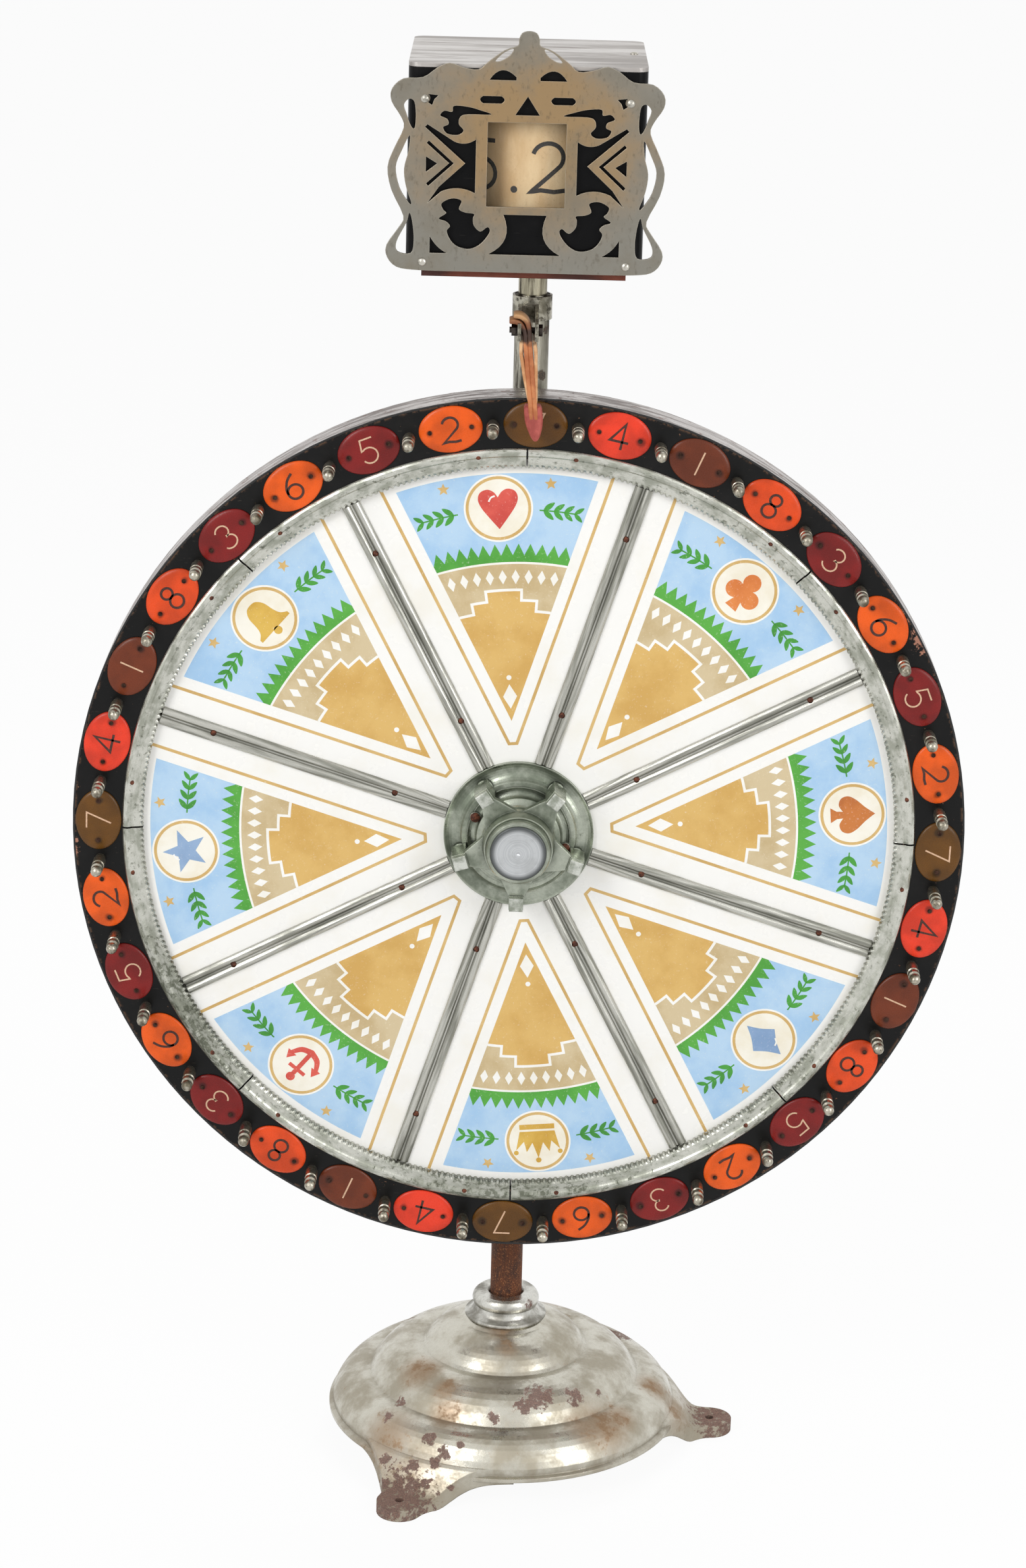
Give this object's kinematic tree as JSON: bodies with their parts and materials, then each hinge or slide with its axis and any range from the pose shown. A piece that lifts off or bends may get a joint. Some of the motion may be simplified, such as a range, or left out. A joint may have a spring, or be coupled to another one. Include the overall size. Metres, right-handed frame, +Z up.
{
  "type": "gambling wheel",
  "caption": "Upright gambling wheel: a pegged number wheel with painted panels on a footed post, with a leather flapper and a drum of odds turning in a box on top.",
  "frame": {"origin": "on the floor under the post's axis, at the centre of the circle of foot bolt holes", "axes": "+Z up the post, -Y the side the wheel faces, +X to the right as the wheel is looked at"},
  "size_m": [0.914, 0.4425, 1.533],
  "materials": {
    "plated_casting": "worn nickel plate with rust patches",
    "rusty_pipe": "bare steel, rusted",
    "plated_tube": "worn nickel plate",
    "iron": "dark iron",
    "steel": "machined",
    "bronze": "machined bronze",
    "rusty_steel": "rusted fasteners",
    "black_wood": "black paint on wood",
    "timber": "bare board",
    "plated_trim": "aged nickel plate",
    "panel": "painted behind glass",
    "tag_olive": "engraved",
    "tag_red": "engraved",
    "tag_brown": "engraved",
    "tag_vermilion": "engraved",
    "tag_maroon": "engraved",
    "tag_orange": "engraved",
    "plated_hub": "aged nickel plate",
    "bright": "bright plate",
    "friction_lining": "pressed fibre",
    "roller_rubber": "rubber",
    "drum_face": "aged paper on tinplate",
    "leather": "laminated belt leather",
    "red_leather": "soft red leather",
    "box_enamel": "black enamel",
    "bare_lid": "worn bare metal",
    "red_board": "stained board",
    "plate_metal": "nickel worn to brass",
    "glass": "clear"
  },
  "bodies": {
    "stand": {"base_casting": "plated_casting", "base_collar": "plated_casting", "set_screws": "rusty_steel", "lower_post": "rusty_pipe", "head_casting": "iron", "upper_post": "plated_tube", "spindle": "steel", "spindle_nuts": "steel", "inner_races": "steel", "bearing_balls": "bright", "shaft_bushes": "bronze", "flapper_bracket": "iron", "bracket_bolt": "iron", "flapper_root": "leather", "box_stem": "plated_tube", "box_board": "red_board", "box_shell": "box_enamel", "box_lid": "bare_lid", "box_screws": "rusty_steel", "front_plate": "plate_metal", "window_glass": "glass"},
    "wheel": {"wheel_rim": "black_wood", "rim_band": "plated_trim", "front_board": "timber", "core_board": "timber", "back_board": "black_wood", "panel_1": "panel", "panel_2": "panel", "panel_3": "panel", "panel_4": "panel", "panel_5": "panel", "panel_6": "panel", "panel_7": "panel", "panel_8": "panel", "divider_strips": "plated_trim", "trim_segments": "plated_trim", "trim_screws": "rusty_steel", "tags_olive": "tag_olive", "tags_red": "tag_red", "tags_brown": "tag_brown", "tags_vermilion": "tag_vermilion", "tags_maroon": "tag_maroon", "tags_orange": "tag_orange", "tag_pins": "iron", "pegs": "plated_trim", "hub_flange": "plated_hub", "hub_spider": "plated_hub", "hub_barrel": "plated_hub", "hub_bolts": "bright", "hub_nuts": "steel", "flange_screws": "rusty_steel", "dust_cap": "bright", "outer_races": "steel", "friction_disc": "friction_lining"},
    "drum": {"friction_roller": "roller_rubber", "drum_shaft": "steel", "drum_ends": "timber", "odds_drum": "drum_face"},
    "flapper": {"flapper_tongue": "leather", "flapper_tip": "red_leather"}
  },
  "joints": [
    {"name": "wheel_spin", "type": "hinge", "parent": "stand", "child": "wheel", "pos_m": [0, -0.085, 0.714], "axis": [0, 1, 0], "continuous": true, "deforming": ["flapper_tongue", "flapper_tip"]},
    {"name": "drum_spin", "type": "hinge", "parent": "stand", "child": "drum", "pos_m": [0, 0, 1.4], "axis": [0, 0, 1], "continuous": true},
    {"name": "flapper_bend", "type": "hinge", "parent": "stand", "child": "flapper", "pos_m": [-0.004, -0.109, 1.23], "axis": [0, 1, 0], "range_deg": [-10, 17], "stiffness_Nm_per_rad": 0.4}
  ],
  "couplings": [
    {"joint": "drum_spin", "follows": "wheel_spin", "ratio": 1.8333}
  ]
}
